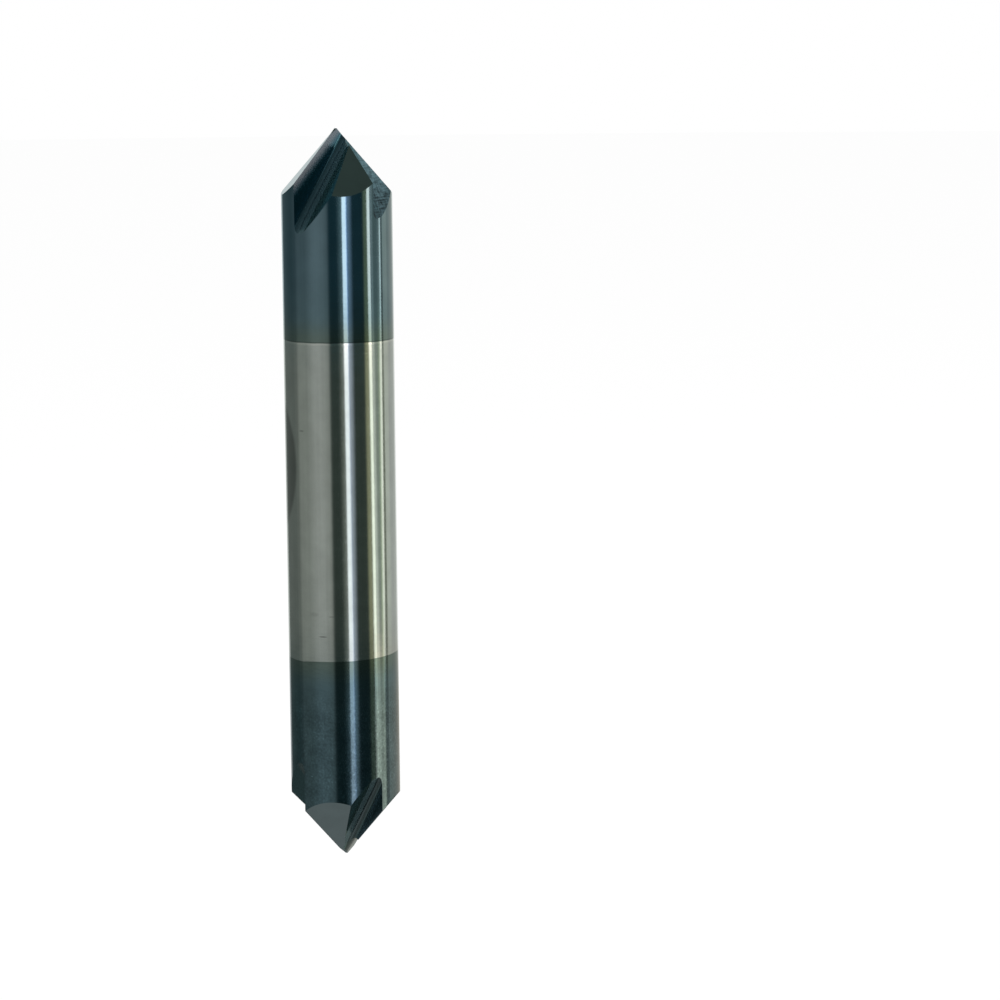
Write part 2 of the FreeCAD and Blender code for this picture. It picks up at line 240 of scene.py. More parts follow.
class MillSettings(PropertyGroup):
    """Sizes of the ground rod and its two points."""

    diameter: FloatProperty(
        name="Diameter", description="Diameter of the ground rod",
        default=HIGHEST.x - LOWEST.x, unit="LENGTH")
    length: FloatProperty(
        name="Length", description="From the tip of one point to the tip of the other",
        default=HIGHEST.z - LOWEST.z, unit="LENGTH")
    point_angle: FloatProperty(
        name="Point angle", description="Included angle of the cutting edges",
        default=math.radians(90), subtype="ANGLE")
    point_flat: FloatProperty(
        name="Point flat", description="Width of the blunt end left on each point",
        default=0.2 * MM, unit="LENGTH")
    relief_angle: FloatProperty(
        name="Relief", description="Fall of a flank behind its cutting edge",
        default=math.radians(25), subtype="ANGLE")
    web_thickness: FloatProperty(
        name="Web", description="Carbide left between two opposite rake faces",
        default=0.3 * MM, unit="LENGTH")
    corner_radius: FloatProperty(
        name="Corner radius", description="Corner between a rake face and the land below it",
        default=0.45 * MM, unit="LENGTH")
    long_flute_angle: FloatProperty(
        name="Long flute", description="Slope of a long flute from the axis",
        default=math.radians(34.5), subtype="ANGLE")
    long_flute_depth: FloatProperty(
        name="Long flute depth", description="Where a long flute's floor meets the axis",
        default=1.97 * MM, unit="LENGTH")
    long_flute_land: FloatProperty(
        name="Long flute land", description="Width of a long flute's land",
        default=1.05 * MM, unit="LENGTH")
    long_flute_bevel: FloatProperty(
        name="Long flute bevel", description="Rise of a long flute's floor past its land",
        default=math.radians(16), subtype="ANGLE")
    short_flute_angle: FloatProperty(
        name="Short flute", description="Slope of a short flute from the axis",
        default=math.radians(32.3), subtype="ANGLE")
    short_flute_depth: FloatProperty(
        name="Short flute depth", description="Where a short flute's floor meets the axis",
        default=0.2 * MM, unit="LENGTH")
    short_flute_land: FloatProperty(
        name="Short flute land", description="Width of a short flute's land",
        default=1.1 * MM, unit="LENGTH")
    short_flute_bevel: FloatProperty(
        name="Short flute bevel", description="Rise of a short flute's floor past its land",
        default=math.radians(12), subtype="ANGLE")
    point_clocking: FloatProperty(
        name="Clocking", description="Turn of the lower point's edges from the upper's",
        default=math.radians(4.6), subtype="ANGLE")
    round_steps: IntProperty(
        name="Round steps", description="Faces round the rod", default=360, min=24)
    corner_steps: IntProperty(
        name="Corner steps", description="Faces in the corner of a flute", default=14, min=1)


class FinishSettings(PropertyGroup):
    """Colours and extent of the bare carbide and of the coating on its ends."""

    coated_length: FloatProperty(
        name="Coated length", description="From each tip to where its coating ends",
        default=18.0 * MM, unit="LENGTH")
    bare_colour: FloatVectorProperty(
        name="Bare carbide", description="Colour of the bare ground carbide",
        default=(0.44, 0.46, 0.44), subtype="COLOR", min=0.0, max=1.0)
    coating_colour: FloatVectorProperty(
        name="Coating", description="Colour of the coating",
        default=(0.130, 0.196, 0.222), subtype="COLOR", min=0.0, max=1.0)
    # Painted light: the lighter colour that a rake face turns to towards its cutting edge.
    edge_light_colour: FloatVectorProperty(
        name="Painted light near the edges", description="Colour of the painted light near the cutting edges",
        default=(0.15, 0.175, 0.205), subtype="COLOR", min=0.0, max=1.0)
    fringe_colour: FloatVectorProperty(
        name="Coating near its edge", description="Colour of the coating where it thins out",
        default=(0.15, 0.195, 0.18), subtype="COLOR", min=0.0, max=1.0)


class StageSettings(PropertyGroup):
    """The floor, the tent and the camera."""

    floor_drop: FloatProperty(
        name="Floor", description="How far the floor lies below the mill's middle",
        default=0.2, unit="LENGTH")
    tent_radius: FloatProperty(
        name="Tent", description="Radius of the tent of strip lights",
        default=0.19, unit="LENGTH")
    camera_distance: FloatProperty(
        name="Camera distance", description="From the mill's middle to the camera",
        default=0.3, unit="LENGTH")
    camera_azimuth: FloatProperty(
        name="Camera azimuth", description="How far round the mill the camera stands",
        default=math.radians(-38.73), subtype="ANGLE")
    camera_height: FloatProperty(
        name="Camera height", description="How far the camera looks down on the middle",
        default=math.radians(8.153), subtype="ANGLE")
    camera_pan: FloatProperty(
        name="Camera pan", description="How far the camera looks to the right of the mill",
        default=math.radians(2.630), subtype="ANGLE")
    camera_tilt: FloatProperty(
        name="Camera tilt", description="How far the camera looks above the mill's middle",
        default=math.radians(-0.111), subtype="ANGLE")
    camera_roll: FloatProperty(
        name="Camera roll", description="How far the camera leans over",
        default=math.radians(-0.906), subtype="ANGLE")
    camera_lens: FloatProperty(
        name="Lens", description="Focal length for a sensor 36 mm wide", default=124.326)


def add_node(tree, kind, inputs=None, **settings):
    """A node with its settings, and its inputs linked or given a value."""
    made = tree.nodes.new(kind)
    for name, value in settings.items():
        setattr(made, name, value)
    for name, value in (inputs or {}).items():
        if isinstance(value, NodeSocket):
            tree.links.new(value, made.inputs[name])
        else:
            made.inputs[name].default_value = value
    return made


def calculate(tree, operation, *values):
    """The output of a Math node."""
    inputs = dict(enumerate(values))
    return add_node(tree, "ShaderNodeMath", inputs, operation=operation).outputs[0]


def remap(tree, value, start, end, low=0.0, high=1.0, smooth=True):
    """A value carried from one range to another, and held at the ends."""
    made = add_node(
        tree, "ShaderNodeMapRange",
        {"Value": value, "From Min": start, "From Max": end, "To Min": low, "To Max": high},
        interpolation_type="SMOOTHSTEP" if smooth else "LINEAR")
    return made.outputs["Result"]


def noise(tree, position, scale, detail):
    """A cloudy value that changes from place to place."""
    made = add_node(
        tree, "ShaderNodeTexNoise", {"Vector": position, "Scale": scale, "Detail": detail})
    return made.outputs["Fac"]


def vary(tree, value, low, high):
    """The range that most of a noise lies in carried to another one."""
    return remap(tree, value, *NOISE_RANGE, low, high, smooth=False)


def mix_colours(tree, factor, first, second):
    """Two colours mixed by a factor."""
    made = add_node(tree, "ShaderNodeMix", data_type="RGBA")
    for index, value in ((0, factor), (6, first), (7, second)):
        if isinstance(value, NodeSocket):
            tree.links.new(value, made.inputs[index])
        elif index == 0:
            made.inputs[index].default_value = value
        else:
            made.inputs[index].default_value = (*value, 1.0)
    return made.outputs[2]


def apex_height(mill):
    """Where the flanks of the upper point would meet."""
    return (mill.length + mill.point_flat / math.tan(mill.point_angle / 2)) / 2 / MM


def cut_frames(mill, turns, slope, depth=0.0):
    """Where a cut lies on both points, for each of its turns round the rod.

    In such a frame x points up and outwards, square to a line that falls at the slope, y
    points ahead of the cutting edge, and z runs along the line.
    """
    half_clocking = mill.point_clocking / 2
    line = Vector((math.cos(half_clocking), math.sin(half_clocking), 0))
    sides = (Matrix.Identity(4), Matrix.Rotation(math.pi, 4, line))
    lift = Matrix.Translation((0, 0, apex_height(mill) - depth / MM))
    tilt = Matrix.Rotation(-slope, 4, "Y")
    return [
        side @ lift @ Matrix.Rotation(math.radians(turn), 4, "Z") @ tilt
        for side in sides for turn in turns
    ]


def flank_frames(mill):
    """The frames of all the flanks."""
    return cut_frames(mill, FLANK_TURNS, mill.point_angle / 2)


def flank_normal(mill, place):
    """The way a flank faces."""
    across = Vector((1, -math.tan(mill.relief_angle), 0)).normalized()
    return place.to_3x3() @ across


def flute_frames(mill):
    """All the flutes: the kind, the frame, the width of the land and the bevel of each."""
    long_frames = cut_frames(mill, LONG_TURNS, mill.long_flute_angle, mill.long_flute_depth)
    short_frames = cut_frames(mill, SHORT_TURNS, mill.short_flute_angle, mill.short_flute_depth)
    long_land, short_land = mill.long_flute_land / MM, mill.short_flute_land / MM
    return (
        [("long", place, long_land, mill.long_flute_bevel) for place in long_frames]
        + [("short", place, short_land, mill.short_flute_bevel) for place in short_frames]
    )


def make_rod(mill):
    """The round bar, with the flat flanks of both points ground on it."""
    bm = bmesh.new()
    radius = mill.diameter / 2 / MM
    bmesh.ops.create_cone(
        bm, cap_ends=True, cap_tris=False, segments=mill.round_steps,
        radius1=radius, radius2=radius, depth=mill.length / MM)
    for place in flank_frames(mill):
        cut = bmesh.ops.bisect_plane(
            bm, geom=bm.verts[:] + bm.edges[:] + bm.faces[:], dist=PLANE_TOLERANCE,
            plane_co=place.translation, plane_no=flank_normal(mill, place), clear_outer=True)
        rim = [item for item in cut["geom_cut"] if isinstance(item, bmesh.types.BMEdge)]
        bmesh.ops.holes_fill(bm, edges=rim, sides=0)
    bmesh.ops.recalc_face_normals(bm, faces=bm.faces)
    return bm


def make_flute_cutter(mill, place, land, bevel):
    """A prism of the flute's section, long enough to run right through the point."""
    bm = bmesh.new()
    reach = CLEARING_DIAMETERS * mill.diameter / MM
    half_web = mill.web_thickness / 2 / MM
    bevel_start = half_web + land
    rise = (reach - bevel_start) * math.tan(bevel)
    section = ((0, half_web), (0, bevel_start), (rise, reach), (reach, reach), (reach, half_web))
    corners = [bm.verts.new((x, y, -reach)) for x, y in section]
    face = bm.faces.new(corners)
    run = bmesh.ops.extrude_face_region(bm, geom=[face])
    moved = [item for item in run["geom"] if isinstance(item, bmesh.types.BMVert)]
    bmesh.ops.translate(bm, vec=(0, 0, 2 * reach), verts=moved)
    corner_edge = next(
        edge for edge in bm.edges
        if all(math.hypot(v.co.x, v.co.y - half_web) < SECTION_TOLERANCE for v in edge.verts))
    bmesh.ops.bevel(
        bm, geom=[corner_edge], offset=mill.corner_radius / MM, offset_type="OFFSET",
        affect="EDGES", segments=mill.corner_steps, profile=0.5, material=-1)
    bmesh.ops.recalc_face_normals(bm, faces=bm.faces)
    bmesh.ops.transform(bm, matrix=place, verts=bm.verts)
    return bm


def to_object(name, bm):
    """A linked object from a bmesh."""
    mesh = bpy.data.meshes.new(name)
    bm.to_mesh(mesh)
    bm.free()
    made = bpy.data.objects.new(name, mesh)
    bpy.context.scene.collection.objects.link(made)
    return made


def with_modifiers_applied(piece):
    """The piece's mesh as its modifiers leave it."""
    graph = bpy.context.evaluated_depsgraph_get()
    return bpy.data.meshes.new_from_object(piece.evaluated_get(graph), depsgraph=graph)


def cut_flutes(piece, mill):
    """Grind the flutes into the rod."""
    cutters = []
    for _, place, land, bevel in flute_frames(mill):
        cutter = to_object("flute_cutter", make_flute_cutter(mill, place, land, bevel))
        cutters.append(cutter)
        cut = piece.modifiers.new("Flute", "BOOLEAN")
        cut.operation = "DIFFERENCE"
        cut.solver = "EXACT"
        cut.object = cutter
    mesh = with_modifiers_applied(piece)
    piece.modifiers.clear()
    piece.data = mesh
    for cutter in cutters:
        bpy.data.objects.remove(cutter)
    bm = bmesh.new()
    bm.from_mesh(mesh)
    bmesh.ops.remove_doubles(bm, verts=bm.verts, dist=WELD_DISTANCE)
    bmesh.ops.dissolve_degenerate(bm, edges=bm.edges, dist=WELD_DISTANCE)
    bm.to_mesh(mesh)
    open_edges = sum(1 for edge in bm.edges if not edge.is_manifold)
    bm.free()
    if open_edges:
        raise RuntimeError(f"the mill's mesh has {open_edges} open edges")


def is_round(mill, mesh, face):
    """Whether a face is part of the rod's round side."""
    radius = mill.diameter / 2 / MM
    on_side = all(
        abs(mesh.vertices[index].co.xy.length - radius) < ROUND_TOLERANCE
        for index in face.vertices)
    return on_side and abs(face.normal.z) < SQUARE


def find_surface(mill, flanks, flutes, face):
    """How a cut face was ground, or None for a face that no wheel reached.

    It gives the frame that the face was ground in, its kind of surface and how far it lies
    from its rake towards its land, which is more than 0 on a corner only.
    """
    for place in flanks:
        if face.normal.dot(flank_normal(mill, place)) > SAME_WAY:
            return place, "flank", 0.0
    half_web = mill.web_thickness / 2 / MM
    corner = mill.corner_radius / MM
    for kind, place, land, bevel in flutes:
        back = place.inverted()
        facing = back.to_3x3() @ face.normal
        at = back @ face.center
        if abs(facing.z) > SQUARE:
            continue
        if abs(at.y - half_web) < FLAT_TOLERANCE:
            return place, f"{kind} rake", 0.0
        past_land = at.y - half_web - land
        if abs(at.x - max(0, past_land) * math.tan(bevel)) < FLAT_TOLERANCE:
            return place, f"{kind} bevel" if past_land > 0 else f"{kind} land", 0.0
        from_corner = math.hypot(at.x - corner, at.y - half_web - corner)
        if abs(from_corner - corner) < CORNER_TOLERANCE:
            turned = math.atan2(corner - at.x, half_web + corner - at.y)
            return place, f"{kind} corner", turned / math.radians(90)
    return None


def mark_grain(piece, mill):
    """Note for the material how each face was ground.

    The grain runs along the first two axes of its attribute and changes along the third. It
    is in millimetres. The finish holds whether the face is a rake face, how strong the
    wheel's marks are and whether the face is on the round side.
    """
    mesh = piece.data
    flanks, flutes = flank_frames(mill), flute_frames(mill)
    mesh.attributes.new(GRAIN, "FLOAT_VECTOR", "CORNER")
    mesh.attributes.new(FINISH, "FLOAT_VECTOR", "FACE")
    mesh.attributes.new(PAINTED_LIGHT, "FLOAT_VECTOR", "FACE")
    mesh.attributes.new(SCATTER, "FLOAT", "FACE")
    grain, finish, coat_and_painted_light, scatter = (
        mesh.attributes[name] for name in (GRAIN, FINISH, PAINTED_LIGHT, SCATTER))
    for face in mesh.polygons:
        found = None if is_round(mill, mesh, face) else find_surface(mill, flanks, flutes, face)
        place, surface, across = found or (Matrix.Identity(4), None, 0.0)
        end = "upper" if face.center.z > 0 else "lower"
        surface = f"{end} {surface}"
        rake, marks, soft, colours = SURFACES.get(surface, ROUND_SIDE)
        colours = Vector(colours).lerp(CORNER_LIGHT_ENDS.get(surface, colours), across ** 2)
        finish.data[face.index].vector = (rake, marks, 0.0 if found else 1.0)
        # The face's painted light and shade, as shares of the coating's colour.
        coat_and_painted_light.data[face.index].vector = colours
        scatter.data[face.index].value = soft
        back = place.inverted()
        for corner in face.loop_indices:
            at = mesh.vertices[mesh.loops[corner].vertex_index].co
            local = back @ at
            grain.data[corner].vector = (local.z, 0.0, local.y - local.x) if found else at


def smooth_faces(piece, mill):
    """Keep flat faces flat and give the round side the normals of a true cylinder."""
    piece.data.shade_smooth()
    piece.data.set_sharp_from_angle(angle=SHARP_ANGLE)
    weighted = piece.modifiers.new("Flat faces", "WEIGHTED_NORMAL")
    weighted.keep_sharp = True
    mesh = with_modifiers_applied(piece)
    piece.modifiers.clear()
    piece.data = mesh
    normals = [corner.vector.copy() for corner in mesh.corner_normals]
    for face in mesh.polygons:
        if is_round(mill, mesh, face):
            for corner in face.loop_indices:
                at = mesh.vertices[mesh.loops[corner].vertex_index].co
                normals[corner] = Vector((at.x, at.y, 0)).normalized()
    mesh.transform(Matrix.Scale(MM, 4))
    mesh.normals_split_custom_set(normals)


def grinding_lines_group():
    """Fine lines that a wheel leaves, stretched along the first two axes of the grain."""
    tree = bpy.data.node_groups.new("Grinding lines", "ShaderNodeTree")
    add_socket = tree.interface.new_socket
    add_socket("Grain", in_out="INPUT", socket_type="NodeSocketVector")
    for name, default in (("Along", 0.4), ("Across", 14.0), ("Detail", 4.0)):
        add_socket(name, in_out="INPUT", socket_type="NodeSocketFloat").default_value = default
    add_socket("Lines", in_out="OUTPUT", socket_type="NodeSocketFloat")
    entry = add_node(tree, "NodeGroupInput").outputs
    stretch = add_node(
        tree, "ShaderNodeCombineXYZ",
        {"X": entry["Along"], "Y": entry["Along"], "Z": entry["Across"]})
    spread = add_node(
        tree, "ShaderNodeVectorMath", {0: entry["Grain"], 1: stretch.outputs[0]},
        operation="MULTIPLY")
    stretched = add_node(
        tree, "ShaderNodeTexNoise",
        {"Vector": spread.outputs[0], "Scale": 1.0, "Detail": entry["Detail"],
         "Roughness": 0.65})
    add_node(tree, "NodeGroupOutput", {"Lines": stretched.outputs["Fac"]})
    return tree


def coating_group(mill, finish):
    """Where the coating covers the ends, and what its edge looks like."""
    tree = bpy.data.node_groups.new("Coated ends", "ShaderNodeTree")
    add_socket = tree.interface.new_socket
    add_socket("Position", in_out="INPUT", socket_type="NodeSocketVector")
    for name in ("Coated", "Edge line", "Rim", "Fringe", "Dull end"):
        add_socket(name, in_out="OUTPUT", socket_type="NodeSocketFloat")
    position = add_node(tree, "NodeGroupInput").outputs["Position"]
    height = add_node(tree, "ShaderNodeSeparateXYZ", {0: position}).outputs["Z"]
    wander = noise(tree, position, WAVER_SCALE, 3.0)
    uneven = vary(tree, wander, -EDGE_WAVER * MM, EDGE_WAVER * MM)
    edge_height = mill.length / 2 - finish.coated_length
    past = calculate(tree, "SUBTRACT", calculate(tree, "ABSOLUTE", height), edge_height)
    past = calculate(tree, "ADD", past, uneven)
    slant = add_node(
        tree, "ShaderNodeVectorMath", {0: position, 1: EDGE_SLANT},
        operation="DOT_PRODUCT").outputs["Value"]
    lower_end = remap(tree, height, HALVES_BAND * MM, -HALVES_BAND * MM)
    slant = calculate(tree, "MULTIPLY", slant, lower_end)
    past = calculate(tree, "ADD", past, slant)
    coated = remap(tree, past, -EDGE_FADE * MM, EDGE_FADE * MM)
    upper_end = remap(tree, height, 0.0, HALVES_BAND * MM)
    line = remap(tree, past, EDGE_FADE * MM, EDGE_LINE_END * MM, EDGE_LINE_STRENGTH, 0.0)
    line = calculate(tree, "MULTIPLY", coated, line)
    share = remap(tree, upper_end, 0.0, 1.0, LOWER_LINE_SHARE, 1.0)
    line = calculate(tree, "MULTIPLY", line, share)
    rim = remap(tree, past, RIM_BAND[0] * MM, RIM_BAND[1] * MM, 0.0, RIM_STRENGTH)
    rim = calculate(tree, "MULTIPLY", upper_end, rim)
    rim = calculate(tree, "MULTIPLY", rim, calculate(tree, "SUBTRACT", 1.0, coated))
    fringe = remap(tree, past, FRINGE_BAND[0] * MM, FRINGE_BAND[1] * MM, 1.0, 0.0)
    dull_end = remap(tree, height, DULL_BAND[0] * MM, DULL_BAND[1] * MM)
    add_node(
        tree, "NodeGroupOutput",
        {"Coated": coated, "Edge line": line, "Rim": rim, "Fringe": fringe,
         "Dull end": dull_end})
    return tree


def shade_and_wear_group():
    """The share of light that small marks on the round side leave, and that a patch of painted
    shade leaves.
    """
    tree = bpy.data.node_groups.new("Wear marks and painted shade", "ShaderNodeTree")
    tree.interface.new_socket("Position", in_out="INPUT", socket_type="NodeSocketVector")
    tree.interface.new_socket("Shade", in_out="OUTPUT", socket_type="NodeSocketFloat")
    position = add_node(tree, "NodeGroupInput").outputs["Position"]
    shade = 1.0
    for place, half_width, half_height, core, share in WEAR_AND_PAINTED_SHADE:
        away = add_node(
            tree, "ShaderNodeVectorMath",
            {0: position, 1: [MM * value for value in place]}, operation="SUBTRACT")
        size = [1 / MM / half_width, 1 / MM / half_width, 1 / MM / half_height]
        away = add_node(
            tree, "ShaderNodeVectorMath", {0: away.outputs[0], 1: size}, operation="MULTIPLY")
        away = add_node(
            tree, "ShaderNodeVectorMath", {0: away.outputs[0]}, operation="LENGTH")
        left = remap(tree, away.outputs["Value"], core, 1.0, share, 1.0)
        shade = calculate(tree, "MULTIPLY", left, shade)
    add_node(tree, "NodeGroupOutput", {"Shade": shade})
    return tree


def grinding_lines(tree, group, grain, kind):
    """A value that follows one kind of the wheels' lines."""
    along, across, detail = GRINDING_LINES[kind]
    made = add_node(
        tree, "ShaderNodeGroup",
        {"Grain": grain, "Along": along, "Across": across, "Detail": detail},
        node_tree=group)
    return made.outputs["Lines"]


def carbide_material(mill, finish):
    """Bare ground carbide with coated ends."""
    material = bpy.data.materials.new("ground carbide with coated ends")
    material.use_nodes = True
    tree = material.node_tree
    shader = tree.nodes["Principled BSDF"]
    position = add_node(tree, "ShaderNodeTexCoord").outputs["Object"]
    grain = add_node(tree, "ShaderNodeAttribute", attribute_name=GRAIN).outputs["Vector"]
    coat_and_painted_light = add_node(tree, "ShaderNodeAttribute", attribute_name=PAINTED_LIGHT).outputs["Vector"]
    look = add_node(tree, "ShaderNodeAttribute", attribute_name=FINISH).outputs["Vector"]
    soft = add_node(tree, "ShaderNodeAttribute", attribute_name=SCATTER).outputs["Fac"]
    rake, marked, on_round = add_node(tree, "ShaderNodeSeparateXYZ", {0: look}).outputs

    coating = add_node(
        tree, "ShaderNodeGroup", {"Position": position},
        node_tree=coating_group(mill, finish)).outputs
    coated, dull_end = coating["Coated"], coating["Dull end"]
    wear_and_shade = add_node(
        tree, "ShaderNodeGroup", {"Position": position}, node_tree=shade_and_wear_group()).outputs["Shade"]
    group = grinding_lines_group()
    fine, waves, streaks, marks, crossing = (
        grinding_lines(tree, group, grain, kind)
        for kind in ("fine", "waves", "streaks", "marks", "crossing"))
    hatch = calculate(tree, "ADD", marks, crossing)

    # The lower end is speckled and blotchy, and a little duller than the upper one.
    specks = noise(tree, position, SPECK_SCALE, 2.0)
    clouds = noise(tree, position, CLOUD_SCALE, 4.0)

    # A rake face is painted darker deep in its flute and lighter towards its cutting edge, and
    # sooner near the tip: painted shade and painted light. A painted highlight lies along the
    # edges of the lower point.
    along, _, across = add_node(tree, "ShaderNodeSeparateXYZ", {0: grain}).outputs
    from_floor = calculate(tree, "SUBTRACT", mill.web_thickness / 2 / MM, across)
    from_floor = calculate(tree, "MULTIPLY_ADD", along, TIP_LEAD, from_floor)
    edge_highlight = calculate(tree, "MULTIPLY", rake, remap(tree, from_floor, *HIGHLIGHT_BAND))
    edge_highlight = calculate(tree, "MULTIPLY", edge_highlight, dull_end)
    from_floor = calculate(tree, "MULTIPLY_ADD", dull_end, DULL_END_LAG, from_floor)
    lit_edge = calculate(tree, "MULTIPLY", rake, remap(tree, from_floor, *EDGE_LIGHT_BAND))

    # Colour: each cut face keeps its own share of the coating's colour, which is painted light and
    # shade. The coating is greener where it thins out.
    coat_and_painted_light = add_node(
        tree, "ShaderNodeVectorMath", {0: coat_and_painted_light, 1: finish.coating_colour},
        operation="MULTIPLY").outputs[0]
    # Painted light: the rake face's colour turns lighter towards its cutting edge.
    coat_and_painted_light = mix_colours(tree, lit_edge, coat_and_painted_light, finish.edge_light_colour)
    # Painted highlight: the lower point's rake faces turn paler right at their cutting edges.
    coat_and_painted_light = mix_colours(tree, edge_highlight, coat_and_painted_light, HIGHLIGHT_COLOUR)
    coat_and_painted_light = mix_colours(tree, coating["Fringe"], coat_and_painted_light, finish.fringe_colour)
    coat_and_painted_light = mix_colours(tree, coating["Edge line"], coat_and_painted_light, EDGE_LINE_COLOUR)
    bare = mix_colours(tree, coating["Rim"], finish.bare_colour, RIM_COLOUR)
    colour = mix_colours(tree, coated, bare, coat_and_painted_light)

    # Shade: the wheel's marks darken and lighten the flutes, and the flutes grow darker towards
    # their far ends.
    marks_and_far_end = remap(tree, hatch, 0.74, 1.26, -HATCH_SHADE, HATCH_SHADE, smooth=False)
    far_end = remap(tree, along, *FAR_END_BAND, 0.0, FAR_END_SHADE)
    marks_and_far_end = calculate(tree, "ADD", marks_and_far_end, far_end)
    cloudy = vary(tree, clouds, *CLOUD_SHADES)
    shade = calculate(tree, "MULTIPLY_ADD", marks_and_far_end, marked, cloudy)
    streaky = vary(tree, streaks, -STREAK_SHADE, STREAK_SHADE)
    shade = calculate(tree, "MULTIPLY_ADD", streaky, on_round, shade)
    speckle = vary(tree, specks, -SPECK_SHADE, SPECK_SHADE)
    bright = remap(tree, specks, *BRIGHT_SPECKS, 0.0, BRIGHT_SPECK_SHADE)
    speckle = calculate(tree, "ADD", speckle, bright)
    speckle = calculate(tree, "ADD", speckle, vary(tree, clouds, -BLOTCH_SHADE, BLOTCH_SHADE))
    speckled = calculate(tree, "MULTIPLY", dull_end, on_round)
    speckle = calculate(tree, "MULTIPLY_ADD", speckle, speckled, 1.0)
    for factor in (speckle, wear_and_shade):
        shade = calculate(tree, "MULTIPLY", shade, factor)
    colour = add_node(
        tree, "ShaderNodeVectorMath", {0: colour, "Scale": shade}, operation="SCALE").outputs[0]
    tree.links.new(colour, shader.inputs["Base Color"])

    # Finish: ground bright, and a little smoother under the coating. Rough cut faces and the
    # edges of rake faces scatter some of the light.
    scattered = calculate(tree, "MULTIPLY", soft, ROUGH_SCATTER)
    scattered = calculate(tree, "MULTIPLY_ADD", lit_edge, EDGE_SCATTER, scattered)
    scattered = calculate(tree, "MULTIPLY_ADD", edge_highlight, EDGE_SCATTER, scattered)
    tree.links.new(calculate(tree, "SUBTRACT", 1.0, scattered), shader.inputs["Metallic"])
    bare_roughness = vary(tree, fine, *BARE_ROUGHNESS)
    coated_roughness = vary(tree, fine, *COATED_ROUGHNESS)
    roughness = add_node(
        tree, "ShaderNodeMix", {0: coated, 2: bare_roughness, 3: coated_roughness},
        data_type="FLOAT").outputs[0]
    in_flute = calculate(tree, "MAXIMUM", rake, soft)
    roughness = calculate(tree, "MULTIPLY_ADD", in_flute, FLUTE_ROUGHNESS, roughness)
    roughness = calculate(tree, "MULTIPLY_ADD", dull_end, DULL_ROUGHNESS, roughness)
    tree.links.new(roughness, shader.inputs["Roughness"])

    # Relief: the grinding lines everywhere but on rake faces, hatching in the flutes, and
    # specks on the lower end.
    relief = calculate(tree, "MULTIPLY", fine, FINE_RELIEF)
    relief = calculate(tree, "MULTIPLY_ADD", waves, WAVE_RELIEF, relief)
    relief = calculate(tree, "MULTIPLY", relief, calculate(tree, "SUBTRACT", 1.0, rake))
    hatching = calculate(tree, "MULTIPLY", hatch, marked)
    relief = calculate(tree, "MULTIPLY_ADD", hatching, HATCH_RELIEF, relief)
    speckling = calculate(tree, "MULTIPLY", specks, speckled)
    relief = calculate(tree, "MULTIPLY_ADD", speckling, SPECK_RELIEF, relief)
    bump = add_node(tree, "ShaderNodeBump", {"Height": relief, "Strength": 1.0, "Distance": MM})
    tree.links.new(bump.outputs["Normal"], shader.inputs["Normal"])
    return material


class CHAMFERMILL_OT_mill(Operator):
    """Build the mill: a ground rod with a four-flute point on each end"""

    bl_idname = "chamfer_mill.build_mill"
    bl_label = "Mill"

    def execute(self, context):
        mill, finish = context.scene.chamfer_mill, context.scene.chamfer_mill_finish
        piece = to_object("ground_mill", make_rod(mill))
        cut_flutes(piece, mill)
        mark_grain(piece, mill)
        smooth_faces(piece, mill)
        piece.data.name = piece.name
        piece.data.materials.clear()
        piece.data.materials.append(carbide_material(mill, finish))
        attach(piece, BODY)
        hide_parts(NODE)
        return {"FINISHED"}


def seen_ray(tree):
    """1 for the rays that show a background: camera, glossy and transmission rays."""
    path = add_node(tree, "ShaderNodeLightPath").outputs
    glossy = calculate(tree, "MAXIMUM", path["Is Camera Ray"], path["Is Glossy Ray"])
    return calculate(tree, "MAXIMUM", glossy, path["Is Transmission Ray"])


def make_world():
    """A world that shows white and lights the stage plainly."""
    world = bpy.data.worlds.new("studio")
    bpy.context.scene.world = world
    world.use_nodes = True
    tree = world.node_tree
    level = remap(tree, seen_ray(tree), 0.0, 1.0, WORLD_LIGHT, 1.0, smooth=False)
    background = tree.nodes["Background"]
    background.inputs["Color"].default_value = (1.0, 1.0, 1.0, 1.0)
    tree.links.new(level, background.inputs["Strength"])
    world.cycles.sampling_method = "NONE"


def make_floor(stage):
    """A plain white floor, well below the mill, that keeps its soft shadow."""
    bm = bmesh.new()
    bmesh.ops.create_circle(
        bm, cap_ends=True, cap_tris=False, segments=64, radius=FLOOR_RADIUS)
    bmesh.ops.translate(bm, vec=(0, 0, -stage.floor_drop), verts=bm.verts)
    floor = to_object("floor", bm)
    material = bpy.data.materials.new("white floor")
    material.use_nodes = True
    tree = material.node_tree
    tree.nodes.remove(tree.nodes["Principled BSDF"])
    paint = add_node(tree, "ShaderNodeBsdfDiffuse", {"Color": (*(FLOOR_PAINT,) * 3, 1.0)})
    glow = add_node(tree, "ShaderNodeEmission", {"Color": (1.0, 1.0, 1.0, 1.0)})
    amount = calculate(tree, "MULTIPLY", seen_ray(tree), FLOOR_GLOW)
    shader = add_node(
        tree, "ShaderNodeMixShader",
        {0: amount, 1: paint.outputs[0], 2: glow.outputs[0]})
    tree.links.new(shader.outputs[0], tree.nodes["Material Output"].inputs["Surface"])
    floor.data.materials.append(material)


def by_height(tree, above, below, colours):
    """A colour that changes from the top to the middle and to the bottom of the tent."""
    top, middle, bottom = colours
    return mix_colours(tree, above, mix_colours(tree, below, middle, bottom), top)


